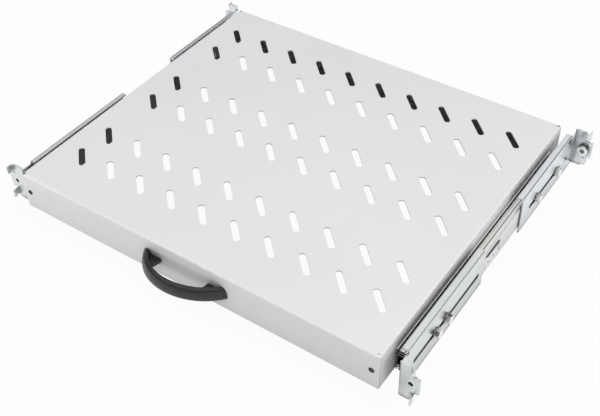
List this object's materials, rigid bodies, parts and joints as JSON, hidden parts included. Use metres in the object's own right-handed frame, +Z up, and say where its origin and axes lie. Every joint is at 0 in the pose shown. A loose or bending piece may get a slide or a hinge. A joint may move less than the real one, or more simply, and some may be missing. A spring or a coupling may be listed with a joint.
{
  "type": "sliding rack shelf",
  "caption": "Pull-out slotted steel rack shelf with a bow handle, carried on telescopic ball slides that hook and screw to the posts of a 19 inch rack.",
  "frame": {"origin": "middle of the line between the two front rack screws, on the front faces of the front flanges", "axes": "+X to the right across the rack seen from the front, +Y to the rear, +Z up"},
  "size_m": [0.4826, 0.4112, 0.05],
  "materials": {
    "tray_paint": "light grey powder coat, satin, fine texture",
    "handle_plastic": "black moulded plastic, satin",
    "zinc_steel": "bright zinc plate with a bluish passivated tint",
    "cage_steel": "plain cold-rolled strip",
    "ball_steel": "polished",
    "bumper_rubber": "matte black"
  },
  "bodies": {
    "rails": {"clamp_bolts": "zinc_steel", "clamp_washers": "zinc_steel", "slide_outer_left": "zinc_steel", "slide_bumper_left": "bumper_rubber", "bracket_front_left": "zinc_steel", "rack_nut_front_left": "zinc_steel", "slide_outer_right": "zinc_steel", "slide_bumper_right": "bumper_rubber", "bracket_front_right": "zinc_steel", "rack_nut_front_right": "zinc_steel"},
    "shelf": {"tray": "tray_paint", "handle": "handle_plastic", "handle_screws": "zinc_steel", "slide_screws": "zinc_steel", "slide_nuts": "zinc_steel", "slide_inner_left": "zinc_steel", "slide_inner_right": "zinc_steel"},
    "middle_left": {"slide_middle_left": "zinc_steel"},
    "outer_cage_left": {"ball_cage_outer_left": "cage_steel", "balls_outer_left": "ball_steel"},
    "inner_cage_left": {"ball_cage_inner_left": "cage_steel", "balls_inner_left": "ball_steel"},
    "middle_right": {"slide_middle_right": "zinc_steel"},
    "outer_cage_right": {"ball_cage_outer_right": "cage_steel", "balls_outer_right": "ball_steel"},
    "inner_cage_right": {"ball_cage_inner_right": "cage_steel", "balls_inner_right": "ball_steel"},
    "rear_bracket_left": {"bracket_rear_left": "zinc_steel", "rack_nut_rear_left": "zinc_steel"},
    "rear_bracket_right": {"bracket_rear_right": "zinc_steel", "rack_nut_rear_right": "zinc_steel"}
  },
  "joints": [
    {"name": "shelf_slide", "type": "slide", "parent": "rails", "child": "shelf", "axis": [0, -1, 0], "range_m": [0, 0.28]},
    {"name": "middle_left_slide", "type": "slide", "parent": "rails", "child": "middle_left", "axis": [0, -1, 0], "range_m": [0, 0.14]},
    {"name": "outer_cage_left_slide", "type": "slide", "parent": "rails", "child": "outer_cage_left", "axis": [0, -1, 0], "range_m": [0, 0.07]},
    {"name": "inner_cage_left_slide", "type": "slide", "parent": "rails", "child": "inner_cage_left", "axis": [0, -1, 0], "range_m": [0, 0.21]},
    {"name": "middle_right_slide", "type": "slide", "parent": "rails", "child": "middle_right", "axis": [0, -1, 0], "range_m": [0, 0.14]},
    {"name": "outer_cage_right_slide", "type": "slide", "parent": "rails", "child": "outer_cage_right", "axis": [0, -1, 0], "range_m": [0, 0.07]},
    {"name": "inner_cage_right_slide", "type": "slide", "parent": "rails", "child": "inner_cage_right", "axis": [0, -1, 0], "range_m": [0, 0.21]},
    {"name": "rear_bracket_left_adjust", "type": "slide", "parent": "rails", "child": "rear_bracket_left", "axis": [0, 1, 0], "range_m": [-0.022, 0.014]},
    {"name": "rear_bracket_right_adjust", "type": "slide", "parent": "rails", "child": "rear_bracket_right", "axis": [0, 1, 0], "range_m": [-0.022, 0.014]}
  ],
  "couplings": [
    {"joint": "middle_left_slide", "follows": "shelf_slide", "ratio": 0.5},
    {"joint": "outer_cage_left_slide", "follows": "shelf_slide", "ratio": 0.25},
    {"joint": "inner_cage_left_slide", "follows": "shelf_slide", "ratio": 0.75},
    {"joint": "middle_right_slide", "follows": "shelf_slide", "ratio": 0.5},
    {"joint": "outer_cage_right_slide", "follows": "shelf_slide", "ratio": 0.25},
    {"joint": "inner_cage_right_slide", "follows": "shelf_slide", "ratio": 0.75}
  ]
}
